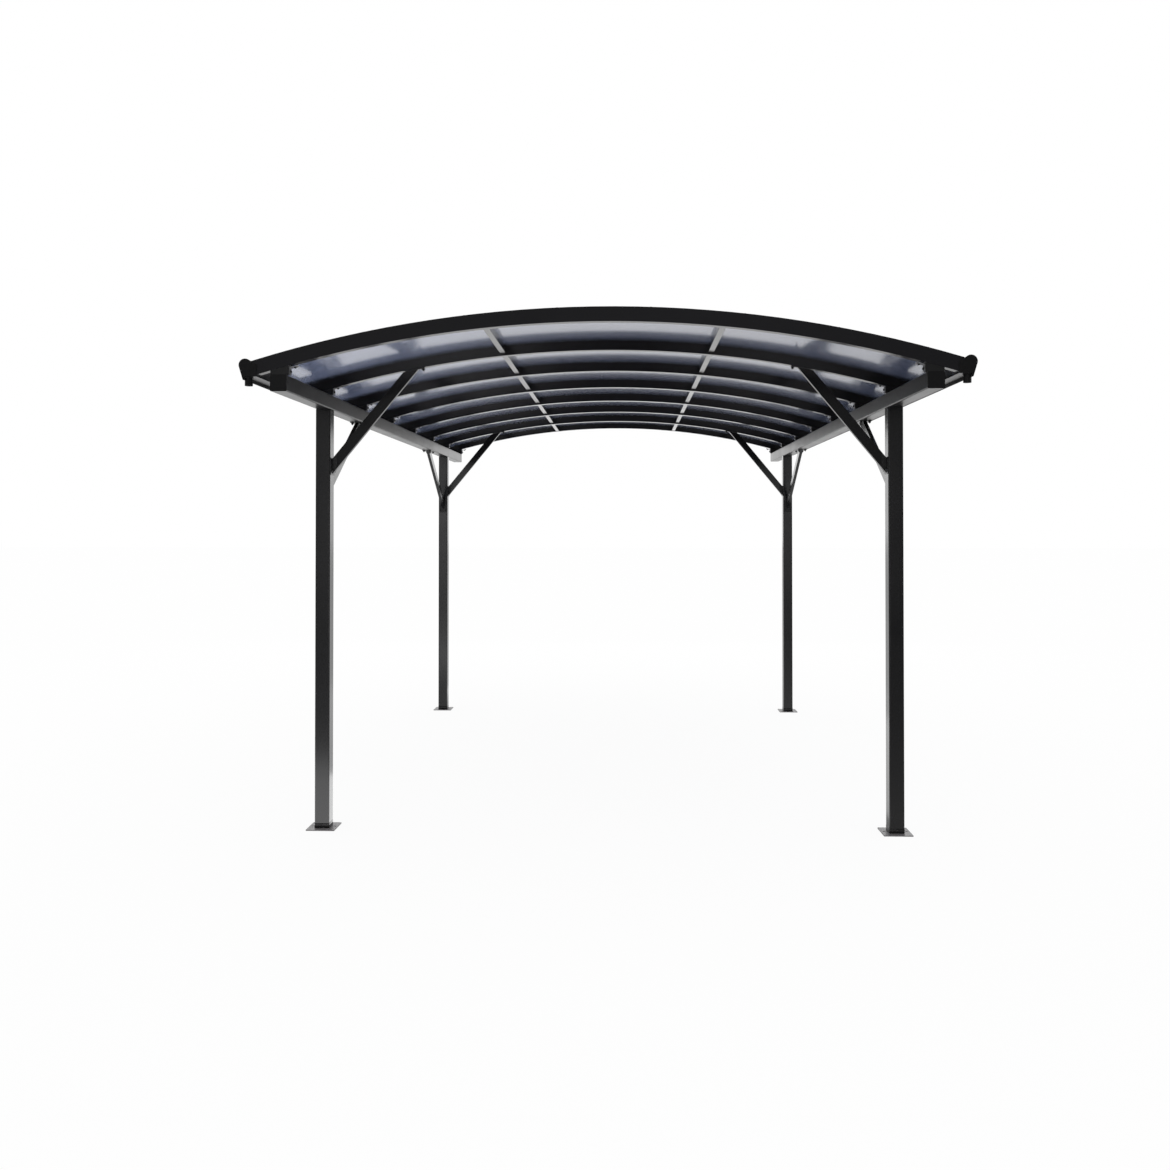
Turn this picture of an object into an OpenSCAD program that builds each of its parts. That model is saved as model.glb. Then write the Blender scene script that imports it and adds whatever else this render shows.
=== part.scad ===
// Arched carport: four posts carry two side beams, the beams carry a row of arched ribs, and
// the roof panels lie between the ribs. Braces stiffen each post both ways, and a gutter runs
// along each eave. Millimetres, +Z up. The origin is on the ground, in the middle of the plan.
// -Y is the entrance end, and +X is the right-hand side seen from there.

/* [Plan] */
// Number of roof bays
bay_count = 7; // [5:1:9]
// Distance from one rib to the next, centre to centre
bay_pitch = 715; // [640:5:780]
// Distance between the centre lines of the two side beams
beam_spacing = 2894; // [2600:2:3200]
// Ribs between each end of the roof and its pair of posts
post_inset_ribs = 1; // [1:1:2]

/* [Posts and base plates] */
// Width of the square posts
post_w = 75; // [60:1:90]
// Wall of the post tube
post_wall = 2.5; // [2:0.5:4]
// Length of a post, from its base plate to the underside of the beam
post_len = 2130; // [1900:5:2400]
// Outside corner radius of the posts and beams
tube_corner_r = 6; // [4:0.5:10]
// Side of the square base plate
plate_w = 145; // [130:1:170]
// Thickness of the base plate
plate_t = 5; // [4:0.5:10]
// Corner radius of the base plate
plate_corner_r = 4; // [2:1:10]
// Distance between the two anchor holes of a base plate
anchor_spacing = 112; // [108:1:118]
// Diameter of an anchor hole
anchor_d = 11; // [8:0.5:14]
// Height of the socket that a post slips over
socket_h = 60; // [40:5:100]
// Wall of that socket
socket_wall = 4; // [3:0.5:6]
// Clearance on each side between the socket and the inside of the post
socket_clear = 0.5; // [0.3:0.1:1]

/* [Side beams] */
// Height of the side beams
beam_h = 75; // [65:1:90]
// Wall of the side beams
beam_wall = 2.5; // [2:0.5:4]
// Thickness of the cover on a beam's end
beam_cap_t = 3; // [2:0.5:5]
// How far the cover's plug reaches into the beam
beam_plug_len = 18; // [10:1:30]
// Clearance on each side of that plug
beam_plug_clear = 0.4; // [0.2:0.1:1]

/* [Roof arch] */
// Height from the top of a beam up to an inner rib's underside, over the beam's centre line
seat_rise = 21; // [16:0.5:30]
// Radius of the top of the arch
arch_r = 5414; // [5100:2:5800]
// Distance from the beam's centre line out to the end of a rib
eave_reach = 98; // [90:1:110]
// Width of a rib
rib_w = 40; // [34:1:50]
// Depth of an inner rib below the panels
rib_body_h = 49; // [42:1:52]
// Depth of the first and last ribs below the panels
end_rib_body_h = 42; // [36:1:48]
// Wall of a rib
rib_wall = 2.5; // [2:0.5:4]
// Width of the tongue that parts two panels
tongue_w = 12; // [8:1:16]
// Width of the cap strip over the panel edges
cap_w = 56; // [44:1:64]
// Height of the cap strip above the panels
cap_h = 15; // [10:1:18]
// Chamfer along the cap strip
cap_chamfer = 5; // [2:0.5:8]
// Thickness of the roof panels
panel_t = 10; // [6:1:10]
// Gap between a panel's edge and the tongue, for its growth in heat
panel_clear = 2; // [1:0.5:3]
// How far the panels and cap strips reach past the ends of the ribs, over the gutter
drip = 24; // [10:1:28]

/* [Purlins] */
// Distance from the middle of the roof to each line of purlins
purlin_x = 530; // [350:5:700]
// Width of a purlin
purlin_w = 28; // [20:1:40]
// Depth of a purlin
purlin_h = 40; // [28:1:42]
// Wall of a purlin
purlin_wall = 2; // [1.5:0.5:3]

/* [Rib seats] */
// Length of a seat along its rib, measured from the outer side of the beam
seat_len = 82; // [76:1:95]
// Width of a seat along the beam
seat_w = 34; // [24:1:40]

/* [Braces] */
// Depth of a brace tube
brace_h = 50; // [40:1:60]
// Thickness of a brace tube
brace_t = 22; // [16:1:30]
// Wall of a brace tube
brace_wall = 2; // [1.5:0.5:3]
// Height on the post where the axis of a crosswise brace meets it
cross_foot_z = 1839; // [1780:1:1900]
// Distance from the post's face in to where that brace meets its rib
cross_run = 411; // [360:1:460]
// Height on the post where the axis of a lengthwise brace meets it
long_foot_z = 1724; // [1690:1:1770]
// Distance from the post's face to where that brace meets its beam
long_run = 668; // [600:1:720]
// Length of the shoe that holds a brace's foot, measured out from the post
shoe_len = 26; // [16:1:40]
// Thickness of the plates that fasten the braces
brace_plate_t = 4; // [3:0.5:6]
// How far the plate under a rib or beam reaches past its brace
brace_plate_lap = 34; // [24:1:50]
// How far the plate at the foot of a lengthwise brace reaches below it
foot_plate_drop = 30; // [20:1:40]
// Width of the plates on the posts and beams
brace_plate_w = 68; // [50:1:72]

/* [Gutters] */
// Thickness of the gutter's wall
gutter_t = 2; // [1.5:0.5:3]
// Radius of the rounded outer lip
lip_r = 28.5; // [26:0.5:31]
// Distance from the end of a rib out to the middle of the lip
lip_x = 52; // [50:0.5:56]
// Height of the middle of the lip above the underside of the floor
lip_rise = 52; // [48:0.5:56]
// How far the underside of the floor lies below the undersides of the inner ribs' ends
floor_drop = 1.5; // [0:0.5:8]
// Distance from the middle of the lip out to the lower edge of the leaning face
face_out = 10; // [4:0.5:14]
// How far that edge hangs below the floor
face_drop = 14; // [8:0.5:20]
// Thickness of a gutter's end cap
gutter_cap_t = 3; // [2:0.5:5]
// Outside diameter of the outlet
outlet_d = 35; // [30:0.5:36]
// Bore of the outlet
outlet_bore = 30; // [24:0.5:31]
// Length of the outlet below the floor
outlet_len = 39; // [20:1:60]
// Outside diameter of the outlet's neck, beside the foot of the leaning face
outlet_neck_d = 33; // [32:0.5:34]
// Distance from the end of a rib out to the middle of the outlet
outlet_x = 42; // [30:0.5:46]
// Distance from the gutter's end to the middle of the outlet
outlet_in = 20; // [19:0.5:40]

/* [Hidden] */
$fn = 64;
arch_fn = 1440;
black = [0.08, 0.08, 0.09];
dark = [0.13, 0.13, 0.14];
grey = [0.45, 0.46, 0.47];
smoke = [0.36, 0.42, 0.55, 0.55];

rib_count = bay_count + 1;
roof_len = bay_count * bay_pitch + rib_w;
beam_x = beam_spacing / 2;
beam_z = plate_t + post_len;
rib_end_x = beam_x + eave_reach;
roof_end_x = rib_end_x + drip;
under_panel = cap_h + panel_t;
under_rib = arch_r - under_panel - rib_body_h;
arch_z = beam_z + beam_h + seat_rise - sqrt(under_rib * under_rib - beam_x * beam_x);
crown_h = arch_z + arch_r;
arch_half_angle = asin((roof_end_x + 10) / arch_r);
post_row = (bay_count / 2 - post_inset_ribs) * bay_pitch;
floor_z = arch_height(under_rib, rib_end_x) - floor_drop;
lip_u = rib_end_x + lip_x;
lip_z = floor_z + lip_rise;
back_top_z = arch_height(arch_r - under_panel, rib_end_x + gutter_t) - 0.5;

function rib_y(i) = (i - 1 - bay_count / 2) * bay_pitch;
function is_end(i) = i == 1 || i == rib_count;
function body_h(i) = is_end(i) ? end_rib_body_h : rib_body_h;
// Height of the arc of radius r at the distance x from the middle of the roof
function arch_height(r, x) = arch_z + sqrt(r * r - x * x);

post_places = [["front_left", -1, -1], ["front_right", 1, -1], ["rear_left", -1, 1], ["rear_right", 1, 1]];
sides = [["left", -1], ["right", 1]];

// ---- Shapes used more than once ----

module rounded_square(w, h, r) {
    square([w - 2 * r, h], center = true);
    square([w, h - 2 * r], center = true);
    for (x = [-1, 1], y = [-1, 1])
        translate([x * (w / 2 - r), y * (h / 2 - r)]) circle(r);
}

module tube_section(w, h, wall, r) {
    difference() {
        rounded_square(w, h, r);
        rounded_square(w - 2 * wall, h - 2 * wall, max(r - wall, 0.5));
    }
}

// Draws what is on the right-hand side, or its mirror image on the left
module on_side(side) {
    if (side > 0) children();
    else mirror([1, 0, 0]) children();
}

// Puts a post's own pieces, drawn for the front right post, at any of the four posts
module at_post(side, end) {
    on_side(side)
        if (end < 0) children();
        else mirror([0, 1, 0]) children();
}

// Sweeps a profile along the arch as far as half_x on each side. The profile's x is measured
// from the top of the arch, and its y across the rib.
module along_arch(half_x, y) {
    intersection() {
        translate([0, y, arch_z])
            rotate([90, 0, 0])
                rotate([0, 0, 90 - arch_half_angle])
                    rotate_extrude(angle = 2 * arch_half_angle, $fn = arch_fn)
                        translate([arch_r, 0]) children();
        translate([-half_x, y - bay_pitch, arch_height(under_rib, roof_end_x) - rib_body_h])
            cube([2 * half_x, 2 * bay_pitch, crown_h - arch_height(under_rib, roof_end_x) + 2 * rib_body_h]);
    }
}

// Extrudes a section drawn in X and Z from the y given, over a length
module along_y(y, len) {
    translate([0, y + len, 0]) rotate([90, 0, 0]) linear_extrude(len) children();
}

// ---- Posts and beams ----

module base_plate(side, end) {
    color(grey) at_post(side, end) translate([beam_x, -post_row, 0]) {
        difference() {
            linear_extrude(plate_t) rounded_square(plate_w, plate_w, plate_corner_r);
            for (x = [-1, 1])
                translate([x * anchor_spacing / 2, 0, -1]) cylinder(d = anchor_d, h = plate_t + 2);
        }
        socket_w = post_w - 2 * post_wall - 2 * socket_clear;
        linear_extrude(plate_t + socket_h)
            tube_section(socket_w, socket_w, socket_wall, tube_corner_r - post_wall);
    }
}

module post(side, end) {
    color(dark) at_post(side, end) translate([beam_x, -post_row, plate_t])
        linear_extrude(post_len) tube_section(post_w, post_w, post_wall, tube_corner_r);
}

module side_beam(side) {
    color(dark) on_side(side) along_y(-roof_len / 2, roof_len)
        translate([beam_x, beam_z + beam_h / 2])
            tube_section(post_w, beam_h, beam_wall, tube_corner_r);
}

module beam_caps() {
    plug_gap = 2 * (beam_wall + beam_plug_clear);
    color(black) for (side = [-1, 1], end = [-1, 1]) on_side(side) {
        outer = end * roof_len / 2;
        along_y(min(outer, outer + end * beam_cap_t), beam_cap_t)
            translate([beam_x, beam_z + beam_h / 2]) rounded_square(post_w, beam_h, tube_corner_r);
        along_y(min(outer, outer - end * beam_plug_len), beam_plug_len)
            translate([beam_x, beam_z + beam_h / 2])
                tube_section(post_w - plug_gap, beam_h - plug_gap, 3, tube_corner_r - beam_wall);
    }
}

// ---- Roof ----

module arch_rib(i) {
    y = rib_y(i);
    // An end rib is closed on its outer side; the sweep turns the profile's y to face -Y
    out = i == 1 ? 1 : i == rib_count ? -1 : 0;
    low = under_panel + body_h(i);
    inner = cap_w / 2;
    color(dark) {
        along_arch(rib_end_x, y) difference() {
            translate([-low, -rib_w / 2]) square([body_h(i), rib_w]);
            translate([-low + rib_wall, -rib_w / 2 + rib_wall])
                square([body_h(i) - 2 * rib_wall, rib_w - 2 * rib_wall]);
        }
        along_arch(roof_end_x, y) {
            lo = out > 0 ? -tongue_w / 2 : out < 0 ? -rib_w / 2 : -tongue_w / 2;
            hi = out > 0 ? rib_w / 2 : tongue_w / 2;
            translate([-under_panel - rib_wall / 2, lo]) square([under_panel, hi - lo]);
            left = out < 0 ? rib_w / 2 : inner;
            right = out > 0 ? rib_w / 2 : inner;
            polygon([[-cap_h, -left], [-cap_chamfer, -left], [0, -left + cap_chamfer],
                     [0, right - cap_chamfer], [-cap_chamfer, right], [-cap_h, right]]);
        }
    }
}

module roof_panel(i) {
    w = bay_pitch - tongue_w - 2 * panel_clear;
    color(smoke) along_arch(roof_end_x, rib_y(i) + bay_pitch / 2)
        translate([-under_panel, -w / 2]) square([panel_t, w]);
}

module purlin(side) {
    tilt = asin(purlin_x / (arch_r - under_panel));
    // The flat top stays just under the curved panels
    top = sqrt(pow(arch_r - under_panel, 2) - pow(purlin_w / 2, 2));
    color(dark) on_side(side) for (i = [1:bay_count])
        along_y(rib_y(i) + rib_w / 2, bay_pitch - rib_w)
            translate([0, arch_z]) rotate(-tilt) translate([0, top - purlin_h / 2])
                tube_section(purlin_w, purlin_h, purlin_wall, purlin_wall);
}

// Flat-topped wedge between the top of a beam and the curved underside of each rib
module rib_seats(side) {
    outer = beam_x + post_w / 2;
    inner = outer - seat_len;
    foot = beam_z + beam_h;
    color(grey) on_side(side) for (i = [1:rib_count]) {
        rib_r = arch_r - under_panel - body_h(i);
        along_y(rib_y(i) - seat_w / 2, seat_w)
            polygon([[inner, foot], [outer, foot], [outer, arch_height(rib_r, outer)],
                     [inner, arch_height(rib_r, inner)]]);
    }
}

// ---- Braces, drawn for the front right post ----

// Strip of the given width about the line from a to b, and past both by more than its width
module strip(a, b, w) {
    d = b - a;
    translate(a) rotate(atan2(d[1], d[0])) translate([-3 * brace_h, -w / 2])
        square([norm(d) + 6 * brace_h, w]);
}

// Half of the length that a brace takes up on the post, and on what it holds up
function foot_half(foot, head) = brace_h / 2 * norm(head - foot) / (head[0] - foot[0]);
function head_half(foot, head) = brace_h / 2 * norm(head - foot) / (head[1] - foot[1]);

// A brace runs from its shoe as far as the region given lets it
module brace_tube(foot, head) {
    difference() {
        linear_extrude(brace_t, center = true) intersection() {
            strip(foot, head, brace_h);
            translate([shoe_len, foot[1] - 2 * brace_h])
                square([head[0] + 2 * brace_h, head[1] - foot[1] + 4 * brace_h]);
            children();
        }
        linear_extrude(brace_t - 2 * brace_wall, center = true)
            strip(foot, head, brace_h - 2 * brace_wall);
    }
}

// Shoe between the post's face and the brace, with its plate, which reaches below it by the drop
module brace_shoe(foot, head, drop) {
    half = foot_half(foot, head);
    linear_extrude(brace_t, center = true) intersection() {
        strip(foot, head, brace_h);
        translate([0, foot[1] - 2 * brace_h]) square([shoe_len, 4 * brace_h]);
    }
    translate([0, foot[1] - half - drop, -brace_plate_w / 2])
        cube([brace_plate_t, 2 * half + 6 + drop, brace_plate_w]);
}

cross_head = [cross_run, arch_height(under_rib, beam_x - post_w / 2 - cross_run)];
cross_foot = [0, cross_foot_z];
long_head = [long_run, beam_z];
long_foot = [0, long_foot_z];

// Frames in which x runs away from the post's face, and y is the height
module cross_frame() {
    translate([beam_x - post_w / 2, -post_row, 0]) rotate([90, 0, 0]) mirror([1, 0, 0]) children();
}

module long_frame() {
    translate([beam_x, -post_row + post_w / 2, 0]) rotate([90, 0, 90]) children();
}

module cross_brace(side, end) {
    color(dark) at_post(side, end) cross_frame()
        brace_tube(cross_foot, cross_head)
            translate([beam_x - post_w / 2, arch_z]) circle(under_rib - brace_plate_t, $fn = arch_fn);
}

module long_brace(side, end) {
    color(dark) at_post(side, end) long_frame()
        brace_tube(long_foot, long_head)
            translate([0, long_foot[1] - 2 * brace_h])
                square([long_run + 2 * brace_h, beam_z - brace_plate_t - long_foot[1] + 2 * brace_h]);
}

// Shoes on the posts, and plates under the ribs and beams, for the braces on one side
module brace_plates(side) {
    cross_half = head_half(cross_foot, cross_head);
    long_half = head_half(long_foot, long_head);
    color(black) for (end = [-1, 1]) at_post(side, end) {
        cross_frame() {
            brace_shoe(cross_foot, cross_head, 0);
            linear_extrude(brace_t, center = true) intersection() {
                translate([cross_run - cross_half, cross_head[1] - brace_h])
                    square([2 * cross_half + brace_plate_lap, 2 * brace_h]);
                translate([beam_x - post_w / 2, arch_z]) difference() {
                    circle(under_rib, $fn = arch_fn);
                    circle(under_rib - brace_plate_t, $fn = arch_fn);
                }
            }
        }
        long_frame() {
            brace_shoe(long_foot, long_head, foot_plate_drop);
            translate([long_run - long_half - brace_plate_lap, beam_z - brace_plate_t, -brace_plate_w / 2])
                cube([2 * long_half + 2 * brace_plate_lap, brace_plate_t, brace_plate_w]);
        }
    }
}

// ---- Gutters, drawn for the right-hand side ----

// The leaning face meets the round lip at this angle
lip_low_a = -17;
lip_inner_r = lip_r - gutter_t;
lip_low = [lip_u + lip_r * cos(lip_low_a), lip_z + lip_r * sin(lip_low_a)];
face_foot = [lip_u + face_out, floor_z - face_drop];

// Points on the round lip, at the radius given, from one angle to another
function lip_arc(r, from, to, steps) =
    [for (i = [0:steps]) let (a = from + (to - from) * i / steps) [lip_u + r * cos(a), lip_z + r * sin(a)]];
// Where the inner side of the leaning face is, at the height given
function face_u(z) = face_foot[0] - gutter_t
    + (z - face_foot[1]) * (lip_low[0] - face_foot[0]) / (lip_low[1] - face_foot[1]);

module gutter_profile() {
    floor_top = floor_z + gutter_t;
    polygon(concat(
        // Outside: over the lip from its open edge, down the leaning face and along the floor
        lip_arc(lip_r, 100, lip_low_a, 20),
        [face_foot, face_foot - [gutter_t, 0], [face_u(floor_z), floor_z], [rib_end_x, floor_z]],
        // Inside: down the back wall, over the floor and back up the lip
        [[rib_end_x, back_top_z], [rib_end_x + gutter_t, back_top_z], [rib_end_x + gutter_t, floor_top],
         [face_u(floor_top), floor_top]],
        lip_arc(lip_inner_r, lip_low_a, 100, 20)
    ));
}

module gutter(side) {
    color(dark) on_side(side) difference() {
        along_y(-roof_len / 2, roof_len) gutter_profile();
        translate([rib_end_x + outlet_x, -roof_len / 2 + outlet_in, floor_z - 1])
            cylinder(d = outlet_bore, h = gutter_t + 2);
    }
}

module gutter_caps() {
    color(black) for (side = [-1, 1], end = [-1, 1]) on_side(side)
        along_y(end < 0 ? -roof_len / 2 - gutter_cap_t : roof_len / 2, gutter_cap_t)
            polygon(concat(
                lip_arc(lip_r, 150, lip_low_a, 28),
                [face_foot, face_foot - [gutter_t, 0], [face_u(floor_z), floor_z], [rib_end_x, floor_z],
                 [rib_end_x, back_top_z]]
            ));
}

// A hose goes up over the outlet as far as its neck, which ends just below the leaning face's foot
module gutter_outlet(side) {
    neck = face_drop + 1;
    color(black) on_side(side)
        translate([rib_end_x + outlet_x, -roof_len / 2 + outlet_in, floor_z - outlet_len])
            difference() {
                union() {
                    cylinder(d = outlet_d, h = outlet_len - neck);
                    cylinder(d = outlet_neck_d, h = outlet_len);
                }
                translate([0, 0, -1]) cylinder(d = outlet_bore, h = outlet_len + 2);
            }
}

// ---- Assembly ----

for (p = post_places) {
    base_plate(p[1], p[2]);
    post(p[1], p[2]);
    cross_brace(p[1], p[2]);
    long_brace(p[1], p[2]);
}
for (s = sides) {
    side_beam(s[1]);
    rib_seats(s[1]);
    purlin(s[1]);
    gutter(s[1]);
    brace_plates(s[1]);
    gutter_outlet(s[1]);
}
beam_caps();
gutter_caps();
for (i = [1:rib_count])
    arch_rib(i);
for (i = [1:bay_count])
    roof_panel(i);
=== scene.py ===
from math import asin, cos, pi, radians, sin, sqrt

import bmesh
import bpy
from mathutils import Matrix, Vector


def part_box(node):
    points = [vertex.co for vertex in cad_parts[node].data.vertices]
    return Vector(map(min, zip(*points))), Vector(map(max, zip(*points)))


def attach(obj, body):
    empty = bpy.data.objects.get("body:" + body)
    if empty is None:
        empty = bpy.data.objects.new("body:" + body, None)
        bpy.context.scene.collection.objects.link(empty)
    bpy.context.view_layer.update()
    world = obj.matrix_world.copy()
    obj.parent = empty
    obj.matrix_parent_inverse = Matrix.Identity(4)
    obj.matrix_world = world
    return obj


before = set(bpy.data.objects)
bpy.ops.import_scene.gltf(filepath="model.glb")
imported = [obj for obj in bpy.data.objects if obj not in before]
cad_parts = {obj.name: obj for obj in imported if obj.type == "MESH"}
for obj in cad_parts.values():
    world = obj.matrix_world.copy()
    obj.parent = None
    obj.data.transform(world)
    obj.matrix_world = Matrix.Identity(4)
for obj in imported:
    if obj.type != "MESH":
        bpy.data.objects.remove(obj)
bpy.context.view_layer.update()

scene = bpy.context.scene
corners = ("front_left", "front_right", "rear_left", "rear_right")
sides = {"left": -1, "right": 1}
ribNames = sorted(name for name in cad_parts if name.startswith("arch_rib_"))
panelNames = sorted(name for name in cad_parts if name.startswith("roof_panel_"))

cameraSetup = {
    "place": (0.0977, -7.2036, 1.5231),
    "tiltUp": 0.666,
    "turnLeft": 1.966,
    "lens": 32.797,
    "sensor": 36,
    "shift": (-0.00386, -0.0585),
}


def addCamera(setup):
    data = bpy.data.cameras.new("camera")
    data.sensor_width = setup["sensor"]
    data.lens = setup["lens"]
    data.shift_x, data.shift_y = setup["shift"]
    camera = bpy.data.objects.new("camera", data)
    camera.location = setup["place"]
    camera.rotation_euler = (radians(90 + setup["tiltUp"]), 0, radians(setup["turnLeft"]))
    scene.collection.objects.link(camera)
    scene.camera = camera


addCamera(cameraSetup)
print("camera done")


# helpers for shader nodes: an input is a value or another node's output

def addNode(tree, kind, inputs=None, **settings):
    node = tree.nodes.new(kind)
    for key, value in settings.items():
        setattr(node, key, value)
    for key, value in (inputs or {}).items():
        if isinstance(value, bpy.types.NodeSocket):
            tree.links.new(value, node.inputs[key])
        else:
            node.inputs[key].default_value = value
    return node


def addMath(tree, operation, a, b=0.0, c=0.0, clamp=False):
    node = addNode(tree, "ShaderNodeMath", {0: a, 1: b, 2: c}, operation=operation, use_clamp=clamp)
    return node.outputs[0]


def addRange(tree, value, span, toLow, toHigh):
    inputs = {"Value": value, "From Min": span[0], "From Max": span[1], "To Min": toLow, "To Max": toHigh}
    return addNode(tree, "ShaderNodeMapRange", inputs, clamp=True).outputs["Result"]


def addMix(tree, amount, a, b):
    # a Mix node takes its colours at sockets 6 and 7, and gives one at 2
    return addNode(tree, "ShaderNodeMix", {0: amount, 6: a, 7: b}, data_type="RGBA").outputs[2]


def addNoise(tree, place, scale, detail, roughness=0.5):
    inputs = {"Vector": place, "Scale": scale, "Detail": detail, "Roughness": roughness}
    return addNode(tree, "ShaderNodeTexNoise", inputs).outputs["Fac"]


def newGroup(name, inputs, outputs):
    tree = bpy.data.node_groups.new(name, "ShaderNodeTree")
    for label, value in inputs.items():
        socket = tree.interface.new_socket(label, in_out="INPUT", socket_type="NodeSocketFloat")
        socket.default_value = value
    for label in outputs:
        tree.interface.new_socket(label, in_out="OUTPUT", socket_type="NodeSocketFloat")
    return tree, tree.nodes.new("NodeGroupInput").outputs, tree.nodes.new("NodeGroupOutput").inputs


def placeGroup(tree, group, inputs):
    return addNode(tree, "ShaderNodeGroup", inputs, node_tree=group).outputs


# bare edges: where a small bevel would turn the surface, broken up by noise
edgeLook = {"samples": 4, "turned": (0.995, 0.85), "detail": 3.0, "broken": (0.42, 0.62)}


def makeEdgeWear(look):
    tree, given, out = newGroup("edgeWear", {"Radius": 0.002, "Amount": 0.5, "Breakup": 60.0}, ["Mask"])
    place = addNode(tree, "ShaderNodeTexCoord").outputs["Object"]
    normal = addNode(tree, "ShaderNodeNewGeometry").outputs["Normal"]
    bevel = addNode(tree, "ShaderNodeBevel", {"Radius": given["Radius"]}, samples=look["samples"])
    dot = addNode(tree, "ShaderNodeVectorMath", {0: bevel.outputs[0], 1: normal}, operation="DOT_PRODUCT")
    turned = addRange(tree, dot.outputs["Value"], look["turned"], 0.0, 1.0)
    noise = addNoise(tree, place, given["Breakup"], look["detail"])
    broken = addRange(tree, noise, look["broken"], 0.0, 1.0)
    bare = addMath(tree, "MULTIPLY", turned, broken)
    tree.links.new(addMath(tree, "MULTIPLY", bare, given["Amount"], clamp=True), out["Mask"])
    return tree


# orange peel of a sprayed or baked coat, with slow changes in gloss and tone
peelLook = {"fineDetail": 2.0, "slowScale": 3.5, "slowDetail": 4.0, "slowRoughness": 0.6, "middle": 0.5}


def makeCoatGrain(look):
    inputs = {"Scale": 900.0, "Depth": 0.15, "Gloss": 0.3, "Gloss Change": 0.06}
    tree, given, out = newGroup("coatGrain", inputs, ["Roughness", "Height", "Tone"])
    place = addNode(tree, "ShaderNodeTexCoord").outputs["Object"]
    fine = addNoise(tree, place, given["Scale"], look["fineDetail"])
    slow = addNoise(tree, place, look["slowScale"], look["slowDetail"], look["slowRoughness"])
    # the noise runs half a unit either way, so doubled it gives the whole change in gloss
    tone = addMath(tree, "SUBTRACT", slow, look["middle"])
    change = addMath(tree, "MULTIPLY", tone, given["Gloss Change"])
    tree.links.new(addMath(tree, "MULTIPLY_ADD", change, 2.0, given["Gloss"]), out["Roughness"])
    tree.links.new(addMath(tree, "MULTIPLY", fine, given["Depth"]), out["Height"])
    tree.links.new(slow, out["Tone"])
    return tree


# dust is thin on faces that look up, and splashed over what is near the ground
dustLook = {
    "splashed": 0.55,
    "facingUp": (0.55, 0.95),
    "lying": 0.6,
    "scale": 14.0,
    "detail": 6.0,
    "roughness": 0.65,
    "patches": (0.35, 0.7),
    "least": 0.15,
}
dustColor = (0.30, 0.27, 0.23, 1)


def makeSettledDust(look):
    tree, given, out = newGroup("settledDust", {"Splash Height": 0.35, "Amount": 0.3}, ["Mask"])
    place = addNode(tree, "ShaderNodeTexCoord").outputs["Object"]
    normal = addNode(tree, "ShaderNodeNewGeometry").outputs["Normal"]
    height = addNode(tree, "ShaderNodeSeparateXYZ", {0: place}).outputs["Z"]
    facing = addNode(tree, "ShaderNodeSeparateXYZ", {0: normal}).outputs["Z"]
    share = addMath(tree, "DIVIDE", height, given["Splash Height"])
    splash = addRange(tree, share, (0.0, 1.0), look["splashed"], 0.0)
    lying = addRange(tree, facing, look["facingUp"], 0.0, look["lying"])
    noise = addNoise(tree, place, look["scale"], look["detail"], look["roughness"])
    patchy = addRange(tree, noise, look["patches"], look["least"], 1.0)
    dust = addMath(tree, "MULTIPLY", addMath(tree, "MAXIMUM", splash, lying), patchy)
    tree.links.new(addMath(tree, "MULTIPLY", dust, given["Amount"], clamp=True), out["Mask"])
    return tree


# the webs inside a twin-wall sheet run from eave to eave
fluteLook = {"web": (0.86, 0.98)}


def makeSheetFlutes(look):
    tree, given, out = newGroup("sheetFlutes", {"Pitch": 0.011, "Depth": 0.2}, ["Height", "Web"])
    place = addNode(tree, "ShaderNodeTexCoord").outputs["Object"]
    along = addNode(tree, "ShaderNodeSeparateXYZ", {0: place}).outputs["Y"]
    turn = addMath(tree, "MULTIPLY", addMath(tree, "DIVIDE", along, given["Pitch"]), 2 * pi)
    wave = addMath(tree, "COSINE", turn)
    tree.links.new(addMath(tree, "MULTIPLY", wave, given["Depth"]), out["Height"])
    tree.links.new(addRange(tree, wave, look["web"], 0.0, 1.0), out["Web"])
    return tree


edgeWear = makeEdgeWear(edgeLook)
coatGrain = makeCoatGrain(peelLook)
settledDust = makeSettledDust(dustLook)
sheetFlutes = makeSheetFlutes(fluteLook)


def newMaterial(name):
    material = bpy.data.materials.new(name)
    material.use_nodes = True
    return material, material.node_tree, material.node_tree.nodes["Principled BSDF"]


def linkFinish(tree, shader, color, roughness, height, finish):
    inputs = {"Height": height, "Strength": finish["bump"], "Distance": finish["bumpDeep"]}
    tree.links.new(color, shader.inputs["Base Color"])
    tree.links.new(roughness, shader.inputs["Roughness"])
    tree.links.new(addNode(tree, "ShaderNodeBump", inputs).outputs["Normal"], shader.inputs["Normal"])


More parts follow.
